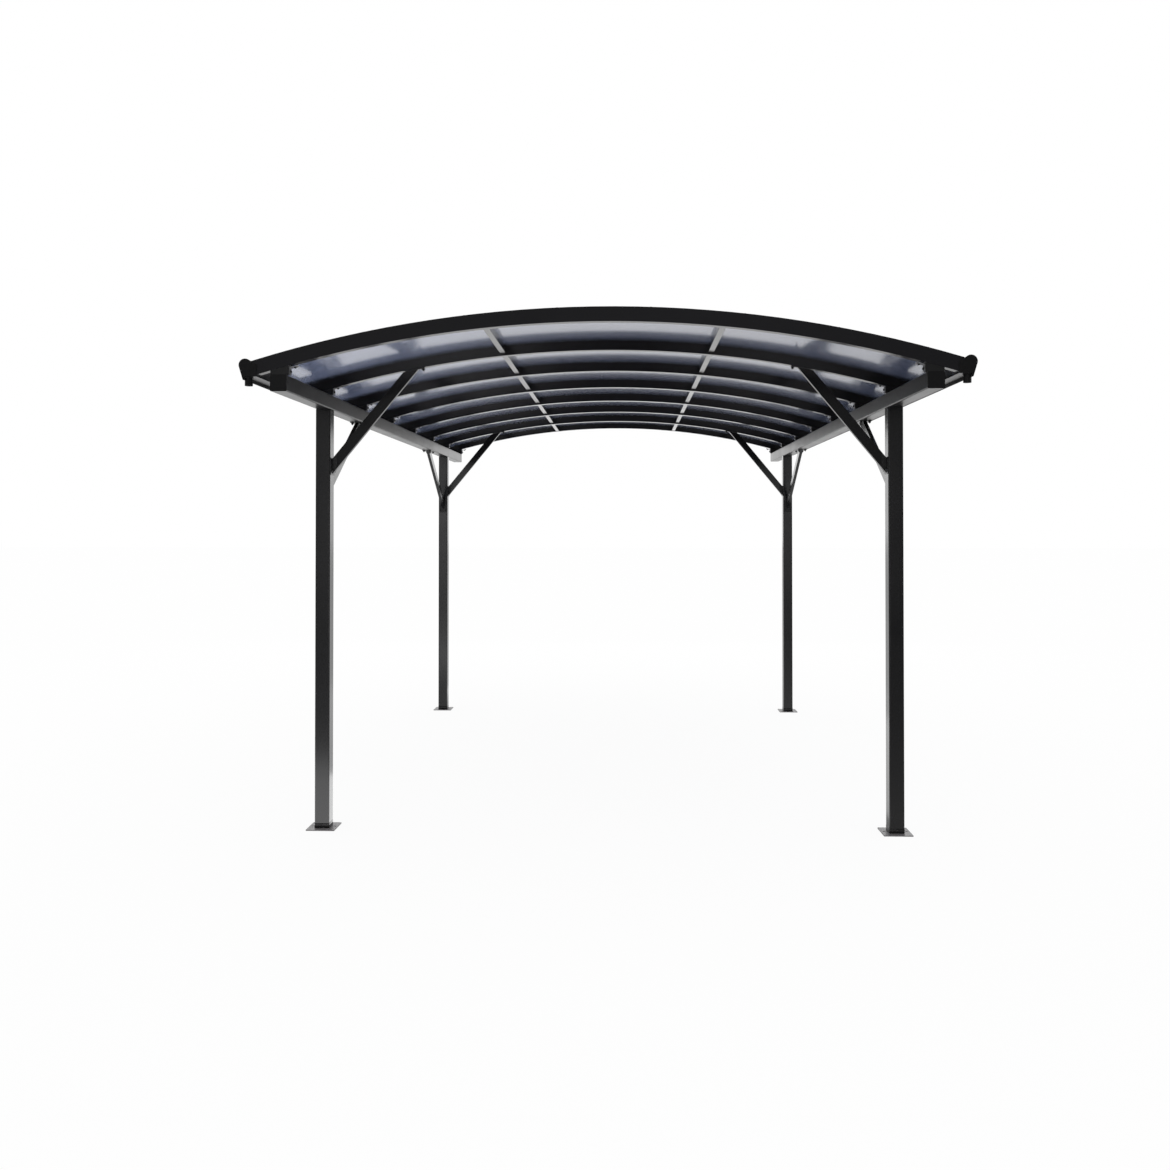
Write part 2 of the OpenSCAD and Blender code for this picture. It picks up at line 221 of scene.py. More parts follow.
# powder coats on the profiles and brackets, and a greyer one on the base plates
darkCoat = {
    "color": (0.0040, 0.0039, 0.0044, 1),
    "tone": (0.0056, 0.0054, 0.0062, 1),
    "bare": (0.10, 0.10, 0.11, 1),
    "wear": 0.35,
    "gloss": 0.34,
    "specular": 0.50,
    "dust": 0.03,
    "splash": 0.3,
    "duller": 0.5,
    "bump": 0.25,
    "bumpDeep": 0.0004,
}
coatFinishes = {
    "frameCoat": dict(darkCoat, gloss=0.22),
    "beamCoat": darkCoat,
    "gutterCoat": dict(darkCoat, wear=0.25, dust=0.04),
    "ribCoat": dict(darkCoat, color=(0.0070, 0.0070, 0.0080, 1), tone=(0.0096, 0.0094, 0.0108, 1),
                    wear=0.30, gloss=0.14, specular=0.24, dust=0.02),
    "braceCoat": dict(darkCoat, color=(0.0036, 0.0036, 0.0040, 1), tone=(0.0050, 0.0050, 0.0055, 1),
                      wear=0.40, gloss=0.16, specular=0.30, dust=0.02),
    "bracketCoat": dict(darkCoat, color=(0.0035, 0.0035, 0.0038, 1), tone=(0.0050, 0.0050, 0.0055, 1),
                        wear=0.45, gloss=0.32, specular=0.45, dust=0.02),
    "plateCoat": dict(darkCoat, color=(0.135, 0.128, 0.133, 1), tone=(0.190, 0.181, 0.188, 1),
                      bare=(0.34, 0.34, 0.35, 1), wear=0.60, gloss=0.32, dust=0.12, splash=0.1),
}


def makeCoat(name, finish):
    material, tree, shader = newMaterial(name)
    dustInputs = {"Amount": finish["dust"], "Splash Height": finish["splash"]}
    grain = placeGroup(tree, coatGrain, {"Gloss": finish["gloss"]})
    wear = placeGroup(tree, edgeWear, {"Amount": finish["wear"]})["Mask"]
    dust = placeGroup(tree, settledDust, dustInputs)["Mask"]
    coat = addMix(tree, grain["Tone"], finish["color"], finish["tone"])
    worn = addMix(tree, wear, coat, finish["bare"])
    dusty = addMix(tree, dust, worn, dustColor)
    rough = addMath(tree, "MULTIPLY_ADD", dust, finish["duller"], grain["Roughness"], clamp=True)
    linkFinish(tree, shader, dusty, rough, grain["Height"], finish)
    shader.inputs["Specular IOR Level"].default_value = finish["specular"]
    return material


# metal and plastic fittings: worn is the colour of their rubbed edges
bareMetal = {
    "specular": 0.5,
    "depth": 0.3,
    "wornWide": 0.0008,
    "wornBreakup": 200.0,
    "bump": 0.2,
    "bumpDeep": 0.0003,
}
blackPlastic = {
    "metallic": 0.0,
    "grain": 1500.0,
    "wornWide": 0.0015,
    "wornBreakup": 120.0,
    "bump": 0.3,
    "bumpDeep": 0.0003,
}
fittingFinishes = {
    "darkAluminium": dict(bareMetal, color=(0.035, 0.036, 0.038, 1), tone=(0.055, 0.056, 0.058, 1),
                          worn=(0.35, 0.35, 0.35, 1), wear=0.4, gloss=0.38, grain=700.0, metallic=0.7),
    "zincSteel": dict(bareMetal, color=(0.16, 0.16, 0.17, 1), tone=(0.25, 0.25, 0.26, 1),
                      worn=(0.60, 0.60, 0.60, 1), wear=0.5, gloss=0.40, grain=1200.0, metallic=0.9),
    "capPlastic": dict(blackPlastic, color=(0.0032, 0.0032, 0.0036, 1), tone=(0.0045, 0.0045, 0.0050, 1),
                       worn=(0.03, 0.03, 0.03, 1), wear=0.25, gloss=0.46, depth=0.5, specular=0.22),
    "sealRubber": dict(blackPlastic, color=(0.0060, 0.0060, 0.0060, 1), tone=(0.0100, 0.0100, 0.0100, 1),
                       worn=(0.03, 0.03, 0.03, 1), wear=0.1, gloss=0.62, depth=0.4, specular=0.2),
    "boltBlack": dict(blackPlastic, color=(0.0050, 0.0050, 0.0050, 1), tone=(0.0080, 0.0080, 0.0080, 1),
                      worn=(0.16, 0.16, 0.16, 1), wear=0.7, gloss=0.40, depth=0.2, specular=0.3),
}


def makeFitting(name, finish):
    material, tree, shader = newMaterial(name)
    grainInputs = {"Gloss": finish["gloss"], "Scale": finish["grain"], "Depth": finish["depth"]}
    wearInputs = {"Amount": finish["wear"], "Radius": finish["wornWide"], "Breakup": finish["wornBreakup"]}
    grain = placeGroup(tree, coatGrain, grainInputs)
    wear = placeGroup(tree, edgeWear, wearInputs)["Mask"]
    color = addMix(tree, grain["Tone"], finish["color"], finish["tone"])
    worn = addMix(tree, wear, color, finish["worn"])
    linkFinish(tree, shader, worn, grain["Roughness"], grain["Height"], finish)
    shader.inputs["Metallic"].default_value = finish["metallic"]
    shader.inputs["Specular IOR Level"].default_value = finish["specular"]
    return material


# smoke-tinted twin-wall sheet, clear enough to see the sky through it, under a duller film
sheetFinish = {
    "tint": (0.165, 0.195, 0.305, 1),
    "web": (0.153, 0.181, 0.284, 1),
    "clear": 0.85,
    "gloss": 0.12,
    "change": 0.03,
    "grain": 40.0,
    "film": 0.4,
    "filmGloss": 0.40,
    "ior": 1.58,
    "pitch": 0.011,
    "dust": 0.06,
    "duller": 0.6,
    "bump": 0.004,
    "bumpDeep": 0.0001,
}


def makeSheet(name, finish):
    material, tree, shader = newMaterial(name)
    grainInputs = {"Gloss": finish["gloss"], "Scale": finish["grain"], "Gloss Change": finish["change"]}
    grain = placeGroup(tree, coatGrain, grainInputs)
    flutes = placeGroup(tree, sheetFlutes, {"Pitch": finish["pitch"]})
    dust = placeGroup(tree, settledDust, {"Amount": finish["dust"]})["Mask"]
    tint = addMix(tree, flutes["Web"], finish["tint"], finish["web"])
    dusty = addMix(tree, dust, tint, dustColor)
    rough = addMath(tree, "MULTIPLY_ADD", dust, finish["duller"], grain["Roughness"], clamp=True)
    linkFinish(tree, shader, dusty, rough, flutes["Height"], finish)
    shader.inputs["IOR"].default_value = finish["ior"]
    shader.inputs["Transmission Weight"].default_value = finish["clear"]
    shader.inputs["Coat Weight"].default_value = finish["film"]
    shader.inputs["Coat Roughness"].default_value = finish["filmGloss"]
    return material


finishes = {name: makeCoat(name, finish) for name, finish in coatFinishes.items()}
finishes.update({name: makeFitting(name, finish) for name, finish in fittingFinishes.items()})
finishes["smokeSheet"] = makeSheet("smokeSheet", sheetFinish)

# a node takes the first finish whose key its name starts with
nodeFinishes = {
    "base_plate_": "plateCoat",
    "post_": "frameCoat",
    "side_beam_": "beamCoat",
    "beam_caps": "capPlastic",
    "rib_seats_": "bracketCoat",
    "arch_rib_": "ribCoat",
    "roof_panel_": "smokeSheet",
    "purlin_": "frameCoat",
    "cross_brace_": "braceCoat",
    "long_brace_": "braceCoat",
    "brace_plates_": "bracketCoat",
    "gutter_outlet_": "capPlastic",
    "gutter_caps": "capPlastic",
    "gutter_": "gutterCoat",
}
for name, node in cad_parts.items():
    finish = next(nodeFinishes[key] for key in nodeFinishes if name.startswith(key))
    node.data.materials.clear()
    node.data.materials.append(finishes[finish])
print("finishes done")

# a face looks along an axis when its normal goes this far that way
alongAxis = 0.9
# places closer than this count as the same
hair = 0.0001


def clearSelection():
    if bpy.context.object and bpy.context.object.mode != "OBJECT":
        bpy.ops.object.mode_set(mode="OBJECT")
    bpy.ops.object.select_all(action="DESELECT")


def editMesh(piece):
    bpy.context.view_layer.objects.active = piece
    piece.select_set(True)
    bpy.ops.object.mode_set(mode="EDIT")


def pickParts(kind, test):
    # select only the faces, edges or vertices that pass the test
    mesh = bmesh.from_edit_mesh(bpy.context.object.data)
    bpy.ops.mesh.select_all(action="DESELECT")
    bpy.ops.mesh.select_mode(type=kind)
    for part in {"FACE": mesh.faces, "EDGE": mesh.edges, "VERT": mesh.verts}[kind]:
        part.select_set(test(part))
    mesh.select_flush_mode()
    bmesh.update_edit_mesh(bpy.context.object.data)


def pickFaces(test):
    pickParts("FACE", lambda face: test(face.calc_center_median(), face.normal))


def pickEdges(test):
    pickParts("EDGE", lambda edge: test(edge.verts[0].co, edge.verts[1].co))


def pickVerts(test):
    pickParts("VERT", lambda vert: test(vert.co))


def applyModifier(piece, kind, **settings):
    bpy.context.view_layer.objects.active = piece
    bpy.ops.object.modifier_add(type=kind)
    modifier = piece.modifiers[-1]
    for key, value in settings.items():
        setattr(modifier, key, value)
    bpy.ops.object.modifier_apply(modifier=modifier.name)


def closeMesh():
    # back in object mode, with faces outward and the object at the origin
    bpy.ops.mesh.select_all(action="SELECT")
    bpy.ops.mesh.remove_doubles(threshold=0.00001)
    bpy.ops.mesh.normals_make_consistent(inside=False)
    bpy.ops.object.mode_set(mode="OBJECT")
    bpy.ops.object.transform_apply(location=True, rotation=True, scale=True)
    bpy.ops.object.shade_smooth_by_angle(angle=radians(35))


def spot(place, facing=(0, 0, 1), turn=0.0):
    # where a copy goes: its foot at the place, its top towards facing, turned about that
    toward = Vector(facing).to_track_quat("Z", "Y").to_matrix().to_4x4()
    return Matrix.Translation(place) @ toward @ Matrix.Rotation(turn, 4, "Z")


def joinCopies(master, spots, name, finish):
    # one piece from a copy of the master at each spot
    clearSelection()
    for matrix in spots:
        copy = master.copy()
        copy.data = master.data.copy()
        copy.data.transform(matrix)
        scene.collection.objects.link(copy)
        copy.select_set(True)
        bpy.context.view_layer.objects.active = copy
    bpy.ops.object.join()
    piece = bpy.context.object
    piece.name = name
    piece.data.name = name
    piece.data.materials.clear()
    piece.data.materials.append(finishes[finish])
    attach(piece, "root")


def dropMaster(master):
    mesh = master.data
    bpy.data.objects.remove(master)
    bpy.data.meshes.remove(mesh)


def middleOf(node):
    low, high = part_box(node)
    return (low + high) / 2


# radii of the roof about its centre height, and the width of a cap strip
arch = {"centre": -2.90921, "capTop": 5.414, "capSide": 5.399, "underRib": 5.340, "capWidth": 0.056}
ribYs = [middleOf(name).y for name in ribNames]
postPlaces = {corner: middleOf("post_" + corner) for corner in corners}
postLow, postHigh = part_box("post_front_left")
postHalf = (postHigh.x - postLow.x) / 2
plateTop = postLow.z


def archHeight(radius, x):
    return arch["centre"] + sqrt(radius * radius - x * x)


hexBolt = {
    "flats": 0.013,
    "head": 0.0053,
    "chamfer": 0.0009,
    "dish": 0.0003,
    "washer": 0.0082,
    "washerThick": 0.0016,
    "rim": 0.0004,
    "rimRise": 0.0002,
    "bevel": 0.00025,
}
smallHexBolt = dict(hexBolt, flats=0.010, head=0.0042, washer=0.0064, washerThick=0.0012)
hexNut = dict(hexBolt, head=0.0066, stud=0.0039, studOut=0.0046, studTip=0.8, studRim=0.3)


def makeHexBolt(size):
    # a head or a nut on its washer, and a nut has the end of its stud too
    base = size["washerThick"]
    clearSelection()
    bpy.ops.mesh.primitive_cylinder_add(vertices=6, radius=size["flats"] / sqrt(3), depth=size["head"],
                                        location=(0, 0, base + size["head"] / 2))
    bolt = bpy.context.object
    bpy.ops.object.transform_apply(location=True)
    editMesh(bolt)
    pickFaces(lambda centre, normal: normal.z > alongAxis)
    bpy.ops.mesh.inset(thickness=size["chamfer"])
    bpy.ops.transform.translate(value=(0, 0, size["chamfer"] / 2))
    bpy.ops.mesh.inset(thickness=size["chamfer"] * 2)
    bpy.ops.transform.translate(value=(0, 0, -size["dish"]))
    bpy.ops.mesh.primitive_cylinder_add(vertices=28, radius=size["washer"], depth=base,
                                        location=(0, 0, base / 2))
    pickFaces(lambda centre, normal: normal.z > alongAxis and centre.z < base + hair)
    bpy.ops.mesh.inset(thickness=size["rim"])
    bpy.ops.transform.translate(value=(0, 0, size["rimRise"]))
    if "stud" in size:
        top = base + size["head"] + size["studOut"]
        bpy.ops.mesh.primitive_cylinder_add(vertices=20, radius=size["stud"], depth=top,
                                            location=(0, 0, top / 2))
        pickFaces(lambda centre, normal: normal.z > alongAxis and centre.z > top - hair)
        bpy.ops.transform.resize(value=(size["studTip"], size["studTip"], 1))
        bpy.ops.mesh.inset(thickness=size["stud"] * size["studRim"])
    closeMesh()
    applyModifier(bolt, "BEVEL", width=size["bevel"], segments=2, limit_method="ANGLE")
    return bolt


# bolts through the shoes on the posts, nuts under the plates on the beams and ribs;
# each hexagon has its own turn: where it starts, and how it grows with the bolt's shift
brace = {
    "shoe": 0.004,
    "boltShift": 0.024,
    "crossBoltZ": 1.820,
    "longBoltZ": 1.680,
    "headX": 0.940,
    "plateY": 0.668,
    "plateNuts": 0.0645,
    "plateUnder": 2.131,
    "crossTurn": (0.4, 9),
    "longTurn": (0.9, 14),
    "plateTurn": (0.3, 8),
    "ribTurn": 0.2,
}


def braceBoltSpots(post, inX, inY):
    out = postHalf + brace["shoe"]
    crossStart, crossGrowth = brace["crossTurn"]
    longStart, longGrowth = brace["longTurn"]
    for shift in (-brace["boltShift"], brace["boltShift"]):
        crossPlace = (post.x + inX * out, post.y + shift, brace["crossBoltZ"])
        longPlace = (post.x + shift, post.y + inY * out, brace["longBoltZ"])
        yield spot(crossPlace, (inX, 0, 0), crossStart + shift * crossGrowth)
        yield spot(longPlace, (0, inY, 0), longStart + shift * longGrowth)


def braceNutSpots(post, inX, inY, ribTurn):
    start, growth = brace["plateTurn"]
    for end in (-brace["plateNuts"], brace["plateNuts"]):
        y = post.y + inY * (postHalf + brace["plateY"] + end)
        for shift in (-brace["boltShift"], brace["boltShift"]):
            yield spot((post.x + shift, y, brace["plateUnder"]), (0, 0, -1), start + end * growth)
    headX = -inX * brace["headX"]
    headZ = archHeight(arch["underRib"] - brace["shoe"], headX)
    toCentre = Vector((-headX, 0, arch["centre"] - headZ))
    yield spot((headX, post.y, headZ), toCentre, ribTurn)


boltMaster = makeHexBolt(hexBolt)
nutMaster = makeHexBolt(hexNut)
for index, corner in enumerate(corners):
    post = postPlaces[corner]
    inX = -1 if post.x > 0 else 1
    inY = -1 if post.y > 0 else 1
    joinCopies(boltMaster, braceBoltSpots(post, inX, inY), "brace_bolts_" + corner, "boltBlack")
    nutSpots = braceNutSpots(post, inX, inY, brace["ribTurn"] * index)
    joinCopies(nutMaster, nutSpots, "brace_nuts_" + corner, "boltBlack")
dropMaster(boltMaster)
dropMaster(nutMaster)
print("brace bolts done")

cleat = {
    "wide": 0.030,
    "leg": 0.031,
    "reach": 0.034,
    "thick": 0.003,
    "lean": 0.262,
    "bevel": 0.0006,
    "seatBolt": 0.6,    # share of the leg
    "ribBolt": 0.62,    # share of the reach
    "seatTurn": 0.35,
    "ribTurn": (0.2, 0.3),
}


def makeCleat(size):
    # angle piece with one leg on the seat's face and the other under the rib, drawn facing +X
    clearSelection()
    bpy.ops.mesh.primitive_cube_add(size=1, location=(0, 0, 0))
    piece = bpy.context.object
    editMesh(piece)
    bpy.ops.transform.resize(value=(size["thick"], size["wide"], size["leg"]))
    bpy.ops.transform.translate(value=(size["thick"] / 2, 0, size["leg"] / 2))
    bpy.ops.mesh.bisect(plane_co=(0, 0, size["leg"] - size["thick"]), plane_no=(0, 0, 1))
    pickFaces(lambda centre, normal: normal.x > alongAxis and centre.z > size["leg"] - size["thick"])
    step = (size["reach"], 0, size["reach"] * size["lean"])
    bpy.ops.mesh.extrude_region_move(TRANSFORM_OT_translate={"value": step})
    closeMesh()
    applyModifier(piece, "BEVEL", width=size["bevel"], segments=2, limit_method="ANGLE")
    return piece


def cleatBoltSpots(face, under, sign):
    out = face - sign * cleat["thick"]
    reach = cleat["reach"] * cleat["ribBolt"]
    seatZ = under - cleat["leg"] * cleat["seatBolt"]
    ribZ = under - cleat["thick"] + reach * cleat["lean"]
    start, growth = cleat["ribTurn"]
    for i, y in enumerate(ribYs):
        yield spot((out, y, seatZ), (-sign, 0, 0), cleat["seatTurn"] * i)
        yield spot((out - sign * reach, y, ribZ), (sign * cleat["lean"], 0, -1), start + growth * i)


cleatMaster = makeCleat(cleat)
boltMaster = makeHexBolt(smallHexBolt)
for side, sign in sides.items():
    low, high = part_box("rib_seats_" + side)
    face = high.x if sign < 0 else low.x
    under = archHeight(arch["underRib"], face)
    inward = Matrix.Rotation(pi if sign > 0 else 0, 4, "Z")
    cleatSpots = [Matrix.Translation((face, y, under - cleat["leg"])) @ inward for y in ribYs]
    joinCopies(cleatMaster, cleatSpots, "rib_cleats_" + side, "zincSteel")
    joinCopies(boltMaster, cleatBoltSpots(face, under, sign), "cleat_bolts_" + side, "boltBlack")
dropMaster(cleatMaster)
dropMaster(boltMaster)
print("cleats done")

# side is a share of the rise, and each step of the crown has shares of the radius and the rise
buttonScrew = {
    "radius": 0.0052,
    "rise": 0.0026,
    "side": 0.4,
    "crown": ((0.12, 0.30), (0.18, 0.18), (0.20, 0.10)),
    "socket": 0.0018,
    "deep": 0.0014,
    "washer": 0.0085,
    "washerThick": 0.0018,
    "rim": 0.0005,
    "rimRise": 0.0002,
}
smallScrew = dict(buttonScrew, radius=0.0042, rise=0.0022, socket=0.0014, washer=0.0052,
                  washerThick=0.0006)
capScrews = {"angles": (-15.2, -11.0, -6.6, -2.2, 2.2, 6.6, 11.0, 15.2), "turn": 0.5}


def makeButtonScrew(size):
    base = size["washerThick"]
    side = size["rise"] * size["side"]
    left = size["radius"]
    clearSelection()
    bpy.ops.mesh.primitive_cylinder_add(vertices=24, radius=left, depth=side,
                                        location=(0, 0, base + side / 2))
    screw = bpy.context.object
    bpy.ops.object.transform_apply(location=True)
    editMesh(screw)
    pickFaces(lambda centre, normal: normal.z > alongAxis)
    for share, rise in size["crown"]:
        bpy.ops.mesh.inset(thickness=size["radius"] * share)
        bpy.ops.transform.translate(value=(0, 0, size["rise"] * rise))
        left -= size["radius"] * share
    bpy.ops.mesh.inset(thickness=left - size["socket"])
    bpy.ops.mesh.extrude_region_move(TRANSFORM_OT_translate={"value": (0, 0, -size["deep"])})
    bpy.ops.mesh.primitive_cylinder_add(vertices=28, radius=size["washer"], depth=base,
                                        location=(0, 0, base / 2))
    washerTop = Vector((0, 0, base))
    pickFaces(lambda centre, normal: normal.z > alongAxis and (centre - washerTop).length < hair)
    bpy.ops.mesh.inset(thickness=size["rim"])
    bpy.ops.transform.translate(value=(0, 0, size["rimRise"]))
    closeMesh()
    return screw


def capScrewSpots(y):
    for i, degrees in enumerate(capScrews["angles"]):
        angle = radians(degrees)
        place = (arch["capTop"] * sin(angle), y, arch["centre"] + arch["capTop"] * cos(angle))
        yield spot(place, (sin(angle), 0, cos(angle)), capScrews["turn"] * i)


screwMaster = makeButtonScrew(buttonScrew)
for name, y in zip(ribNames, ribYs):
    joinCopies(screwMaster, capScrewSpots(y), name.replace("arch_rib", "cap_screws"), "zincSteel")
dropMaster(screwMaster)
print("cap screws done")

footSleeve = {
    "wide": 0.0768,
    "high": 0.025,
    "corner": 0.006,
    "wall": 0.0009,
    "bevel": 0.0003,
    "screwUp": 0.0115,
    "screwTurn": 0.6,
}


def makeFootSleeve(size):
    # thin dark sleeve round the foot of a post
    clearSelection()
    bpy.ops.mesh.primitive_cube_add(size=1, location=(0, 0, 0))
    sleeve = bpy.context.object
    editMesh(sleeve)
    bpy.ops.transform.resize(value=(size["wide"], size["wide"], size["high"]))
    bpy.ops.transform.translate(value=(0, 0, size["high"] / 2))
    pickFaces(lambda centre, normal: abs(normal.z) > alongAxis)
    bpy.ops.mesh.delete(type="ONLY_FACE")
    pickEdges(lambda start, end: abs(start.z - end.z) > size["high"] / 2)
    bpy.ops.mesh.bevel(offset=size["corner"], segments=5)
    closeMesh()
    applyModifier(sleeve, "SOLIDIFY", thickness=size["wall"], offset=-1.0)
    applyModifier(sleeve, "BEVEL", width=size["bevel"], segments=1, limit_method="ANGLE",
                  angle_limit=radians(60))
    return sleeve


def footScrewSpots(post):
    for way in (-1, 1):
        place = (post.x, post.y + way * footSleeve["wide"] / 2, plateTop + footSleeve["screwUp"])
        yield spot(place, (0, way, 0), footSleeve["screwTurn"])


sleeveMaster = makeFootSleeve(footSleeve)
screwMaster = makeButtonScrew(smallScrew)
for corner, post in postPlaces.items():
    sleeveSpots = [spot((post.x, post.y, plateTop))]
    joinCopies(sleeveMaster, sleeveSpots, "foot_sleeve_" + corner, "frameCoat")
    joinCopies(screwMaster, footScrewSpots(post), "foot_screws_" + corner, "boltBlack")
dropMaster(sleeveMaster)
dropMaster(screwMaster)
print("foot sleeves done")

# rubber strips beside each cap strip, tucked a little under its edge
seal = {
    "wide": 0.004,
    "high": 0.0035,
    "round": 0.3,
    "halfAngle": radians(16.9),
    "steps": 72,
    "tuck": 0.001,
}


def makeSeal(size):
    # the cross-section spun about the centre of the arch
    middle = (0, 0, arch["centre"])
    clearSelection()
    bpy.ops.mesh.primitive_plane_add(size=1, location=(0, 0, 0), rotation=(0, radians(90), 0))
    strip = bpy.context.object
    bpy.ops.object.transform_apply(rotation=True)
    editMesh(strip)
    bpy.ops.transform.resize(value=(1, size["wide"], size["high"]))
    bpy.ops.mesh.bevel(offset=size["high"] * size["round"], segments=3, affect="VERTICES")
    bpy.ops.transform.translate(value=(0, 0, arch["centre"] + arch["capSide"] + size["high"] / 2))
    bpy.ops.transform.rotate(value=-size["halfAngle"], orient_axis="Y", center_override=middle)
    bpy.ops.mesh.spin(steps=size["steps"], angle=2 * size["halfAngle"], center=middle, axis=(0, 1, 0))
    closeMesh()
    return strip


sealMaster = makeSeal(seal)
sealReach = (arch["capWidth"] + seal["wide"]) / 2 - seal["tuck"]
for i, (name, y) in enumerate(zip(ribNames, ribYs)):
    # only on the sides that have a panel
    ways = [way for way, panel in ((-1, i - 1), (1, i)) if 0 <= panel < len(panelNames)]
    sealSpots = [spot((0, y + way * sealReach, 0)) for way in ways]
    joinCopies(sealMaster, sealSpots, name.replace("arch_rib", "glazing_seals"), "sealRubber")
dropMaster(sealMaster)
print("seals done")

# thick is the space inside the section, and gap is left beside each cap strip
edgeTrim = {
    "deep": 0.014,
    "beyond": 0.0016,
    "lip": 0.0012,
    "thick": 0.0112,
    "leg": 0.0009,
    "sheetHalf": 0.005,
    "gap": 0.001,
}


def makeEdgeTrim(size, length):
    # C-section over the cut edge of a sheet, drawn with x outward and z off the sheet
    outer = size["thick"] + 2 * size["leg"]
    third = outer / 3
    total = size["deep"] + size["beyond"]
    middle = total / 2 - size["deep"]
    clearSelection()
    bpy.ops.mesh.primitive_grid_add(x_subdivisions=2, y_subdivisions=3, size=1, location=(0, 0, 0))
    trim = bpy.context.object
    editMesh(trim)
    pickFaces(lambda centre, normal: centre.x < 0 and abs(centre.y) < hair)
    bpy.ops.mesh.delete(type="FACE")
    pickVerts(lambda place: True)
    bpy.ops.transform.resize(value=(total, outer, 1))
    bpy.ops.transform.translate(value=(middle, 0, 0))
    # the grid's inner corners go to the inside of the legs and of the lip
    pickVerts(lambda place: abs(place.y) < third)
    bpy.ops.transform.resize(value=(1, size["thick"] / third, 1), center_override=(0, 0, 0))
    pickVerts(lambda place: abs(place.x - middle) < hair)
    bpy.ops.transform.translate(value=(size["beyond"] - size["lip"] - middle, 0, 0))
    pickVerts(lambda place: True)
    bpy.ops.transform.rotate(value=radians(90), orient_axis="X", center_override=(0, 0, 0))
    bpy.ops.transform.translate(value=(0, -length / 2, 0))
    bpy.ops.mesh.extrude_region_move(TRANSFORM_OT_translate={"value": (0, length, 0)})
    closeMesh()
    return trim


trimMaster = makeEdgeTrim(edgeTrim, ribYs[1] - ribYs[0] - arch["capWidth"] - 2 * edgeTrim["gap"])
trimRadius = arch["capSide"] - edgeTrim["sheetHalf"]
trimAngle = asin(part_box(panelNames[0])[1].x / arch["capSide"])
for side, sign in sides.items():
    lean = Matrix.Rotation(sign * trimAngle, 4, "Y") @ Matrix.Rotation(pi if sign < 0 else 0, 4, "Z")
    x = sign * trimRadius * sin(trimAngle)
    z = arch["centre"] + trimRadius * cos(trimAngle)
    trimSpots = [Matrix.Translation((x, (a + b) / 2, z)) @ lean for a, b in zip(ribYs, ribYs[1:])]
    joinCopies(trimMaster, trimSpots, "panel_edge_trims_" + side, "darkAluminium")
dropMaster(trimMaster)
print("edge trims done")

collar = {"inner": 0.0174, "outer": 0.0195, "high": 0.004, "round": 0.3, "steps": 40, "below": 0.0003}


def makeCollar(size):
    # rubber ring round the top of an outlet
    wide = size["outer"] - size["inner"]
    clearSelection()
    bpy.ops.mesh.primitive_plane_add(size=1, location=(0, 0, 0), rotation=(radians(90), 0, 0))
    ring = bpy.context.object
    bpy.ops.object.transform_apply(rotation=True)
    editMesh(ring)
    bpy.ops.transform.resize(value=(wide, 1, size["high"]))
    bpy.ops.mesh.bevel(offset=wide * size["round"], segments=3, affect="VERTICES")
    bpy.ops.transform.translate(value=(size["inner"] + wide / 2, 0, 0))
    bpy.ops.mesh.spin(steps=size["steps"], angle=2 * pi, center=(0, 0, 0), axis=(0, 0, 1))
    # the spin leaves its cross-section standing inside the ring
    pickParts("FACE", lambda face: len(face.verts) > 4)
    bpy.ops.mesh.delete(type="ONLY_FACE")
    closeMesh()
    return ring


collarMaster = makeCollar(collar)
for side in sides:
    outlet = middleOf("gutter_outlet_" + side)
    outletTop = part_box("gutter_outlet_" + side)[1].z
    collarSpots = [spot((outlet.x, outlet.y, outletTop - collar["high"] / 2 - collar["below"]))]
    joinCopies(collarMaster, collarSpots, "outlet_collar_" + side, "sealRubber")
dropMaster(collarMaster)
print("collars done")

# the room as the coats mirror it: dim behind the camera, white beyond the far end,
# with two low bright doorways behind the camera; pairs are where a soft edge starts and ends
room = {
    "frontGloss": 0.28,
    "backGloss": 1.0,
    "rightDim": 0.60,             # the far right behind the camera is darker still
    "rightFrom": (0.13, 0.25),
    "doorGloss": 2.5,             # the left doorway, and the right one's share of that
    "rightDoor": 0.55,
    "doorSwap": (-0.05, 0.05),
    "doorLean": -0.01,            # the middle between the doorways, and how far each is from it
    "doorTurn": 0.14,
    "doorEdge": (0.04, 0.09),
    "doorTop": (0.045, 0.085),
    "doorAhead": (-0.9, -0.7),
    "doorNear": (1.9, 1.6),       # shares of the front depth at which the doorways fade out
    "wallDrop": 0.20,             # how much darker the walls beside them are
}
# the sky as it shows through the sheets: brighter to the left, darker low down
clearSky = {"left": 2.3, "right": 0.70, "across": (-0.32, -0.06), "low": 0.5, "rise": (0.13, 0.24)}
# the front and back depth of that grading, in metres on the floor and in the aim's Y for the sky
depthSpans = {"floor": (-5.0, 4.0), "sky": (-0.5, 0.5)}
# shown is the share of the floor that shows as plain white, and the rest takes the shadow
floorLook = {"size": 160.0, "matte": (0.90, 0.90, 0.90, 1), "shown": 0.93}
plainWhite = (1, 1, 1, 1)
# big soft lamps: one behind the far end that faces forward, three on the ground that face up
softBoxes = {
    "backBox": {"place": (-0.5, 7.6, 2.7), "aim": (-0.5, 0.0, 2.7), "size": (10.0, 2.8), "level": 0.62},
    "midBox": {"place": (-0.4, 1.1, 0.02), "aim": (-0.4, 1.1, 2.0), "size": (1.8, 3.6), "level": 0.5},
    "footBox": {"place": (-1.7, -2.0, 0.02), "aim": (-1.7, -2.0, 2.0), "size": (2.4, 2.6), "level": 2.0},
    "sideBox": {"place": (0.75, -0.4, 0.02), "aim": (0.75, -0.4, 2.0), "size": (1.2, 3.6), "level": 0.75},
}


